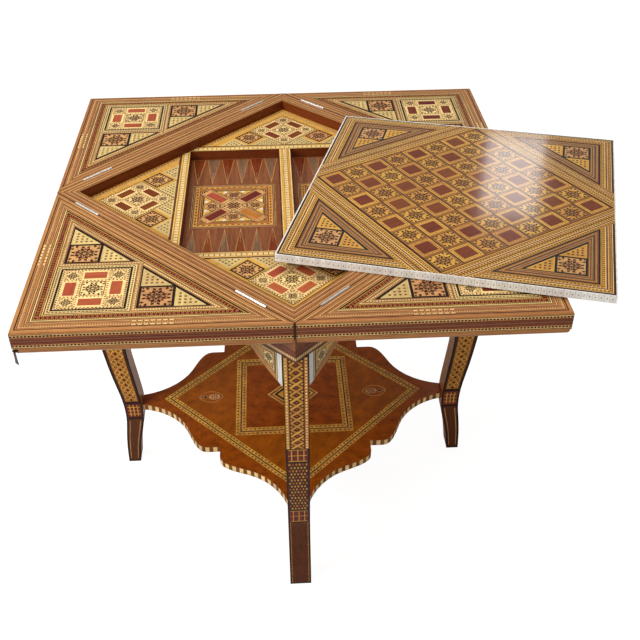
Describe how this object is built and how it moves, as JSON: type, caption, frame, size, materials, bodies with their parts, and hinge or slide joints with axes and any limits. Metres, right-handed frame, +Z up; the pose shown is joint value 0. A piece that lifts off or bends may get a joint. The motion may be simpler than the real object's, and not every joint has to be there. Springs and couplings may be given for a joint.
{
  "type": "folding game table",
  "caption": "Square folding game table: inlaid envelope leaves hinged to a recessed backgammon box on curved legs, with a shaped shelf and a loose chequer board.",
  "frame": {"origin": "on the floor, under the middle of the bounding box of the open table with its loose board", "axes": "+Z up; -Y towards the front leg; +X towards the side where the loose board overhangs"},
  "size_m": [1.1139, 0.8811, 0.7347],
  "materials": {
    "leaf_marquetry": "inlaid veneer on the leaves, satin polish",
    "rim_stringing": "striped veneer on the box sides and rim, satin polish",
    "deck_marquetry": "inlaid veneer on the corner panels of the recess, satin polish",
    "bar_mosaic": "light dotted mosaic strip round the wells, satin polish",
    "well_rosewood": "dark red veneer with backgammon points, satin polish",
    "plain_beech": "plain unpolished carcass wood",
    "leg_marquetry": "mosaic veneer with dark edges on the legs, satin polish",
    "bracket_marquetry": "mosaic veneer with pearl strips on the brackets, satin polish",
    "shelf_burl": "orange-brown figured veneer with inlaid bands, satin polish",
    "board_marquetry": "inlaid chequer veneer, glossy lacquer",
    "bone_tiles": "off-white bone tiles, polished",
    "hinge_steel": "bright rolled steel",
    "pull_bronze": "dark brown patina"
  },
  "bodies": {
    "box": {"back_corner_panel": "deck_marquetry", "back_edge_bar": "bar_mosaic", "back_left_hinge_a_fixed": "hinge_steel", "back_left_hinge_b_fixed": "hinge_steel", "back_left_ledger": "plain_beech", "back_left_side_board": "rim_stringing", "back_leg": "leg_marquetry", "back_leg_back_left_bracket": "bracket_marquetry", "back_leg_back_right_bracket": "bracket_marquetry", "back_right_hinge_a_fixed": "hinge_steel", "back_right_hinge_b_fixed": "hinge_steel", "back_right_ledger": "plain_beech", "back_right_side_board": "rim_stringing", "bottom_board": "plain_beech", "centre_bar": "bar_mosaic", "front_corner_panel": "deck_marquetry", "front_edge_bar": "bar_mosaic", "front_left_hinge_a_fixed": "hinge_steel", "front_left_hinge_b_fixed": "hinge_steel", "front_left_ledger": "plain_beech", "front_left_side_board": "rim_stringing", "front_leg": "leg_marquetry", "front_leg_front_left_bracket": "bracket_marquetry", "front_leg_front_right_bracket": "bracket_marquetry", "front_right_hinge_a_fixed": "hinge_steel", "front_right_hinge_b_fixed": "hinge_steel", "front_right_ledger": "plain_beech", "front_right_side_board": "rim_stringing", "left_corner_panel": "deck_marquetry", "left_edge_bar": "bar_mosaic", "left_leg": "leg_marquetry", "left_leg_back_left_bracket": "bracket_marquetry", "left_leg_front_left_bracket": "bracket_marquetry", "left_well_floor": "well_rosewood", "right_corner_panel": "deck_marquetry", "right_edge_bar": "bar_mosaic", "right_leg": "leg_marquetry", "right_leg_back_right_bracket": "bracket_marquetry", "right_leg_front_right_bracket": "bracket_marquetry", "right_well_floor": "well_rosewood", "shelf": "shelf_burl"},
    "front_left_leaf_body": {"front_left_leaf": "leaf_marquetry", "front_left_hinge_a_moving": "hinge_steel", "front_left_hinge_b_moving": "hinge_steel", "pull_staple": "pull_bronze"},
    "front_right_leaf_body": {"front_right_leaf": "leaf_marquetry", "front_right_hinge_a_moving": "hinge_steel", "front_right_hinge_b_moving": "hinge_steel"},
    "back_right_leaf_body": {"back_right_leaf": "leaf_marquetry", "back_right_hinge_a_moving": "hinge_steel", "back_right_hinge_b_moving": "hinge_steel"},
    "back_left_leaf_body": {"back_left_leaf": "leaf_marquetry", "back_left_hinge_a_moving": "hinge_steel", "back_left_hinge_b_moving": "hinge_steel"},
    "loose_board": {"board_core": "board_marquetry", "board_bone_edging": "bone_tiles"},
    "pull_drop_body": {"pull_drop": "pull_bronze"}
  },
  "joints": [
    {"name": "front_right_leaf_fold", "type": "hinge", "parent": "box", "child": "front_right_leaf_body", "pos_m": [0.1036, -0.22, 0.71415], "axis": [-0.7071, -0.7071, 0], "range_deg": [0, 180]},
    {"name": "back_right_leaf_fold", "type": "hinge", "parent": "box", "child": "back_right_leaf_body", "pos_m": [0.1036, 0.22, 0.71415], "axis": [0.7071, -0.7071, 0], "range_deg": [0, 180]},
    {"name": "front_left_leaf_fold", "type": "hinge", "parent": "box", "child": "front_left_leaf_body", "pos_m": [-0.3364, -0.22, 0.71415], "axis": [-0.7071, 0.7071, 0], "range_deg": [0, 180]},
    {"name": "back_left_leaf_fold", "type": "hinge", "parent": "box", "child": "back_left_leaf_body", "pos_m": [-0.3364, 0.22, 0.71415], "axis": [0.7071, 0.7071, 0], "range_deg": [0, 180]},
    {"name": "board_lift", "type": "slide", "parent": "box", "child": "loose_board", "axis": [0, 0, 1], "range_m": [0, 1.01]},
    {"name": "pull_drop_swing", "type": "hinge", "parent": "front_left_leaf_body", "child": "pull_drop_body", "pos_m": [-0.55412, -0.43772, 0.6765], "axis": [-0.7071, 0.7071, 0], "range_deg": [0, 55]}
  ],
  "couplings": [
    {"joint": "back_right_leaf_fold", "follows": "front_right_leaf_fold", "ratio": 1},
    {"joint": "front_left_leaf_fold", "follows": "front_right_leaf_fold", "ratio": 1},
    {"joint": "board_lift", "follows": "front_right_leaf_fold", "m_per_rad": 0.32}
  ]
}
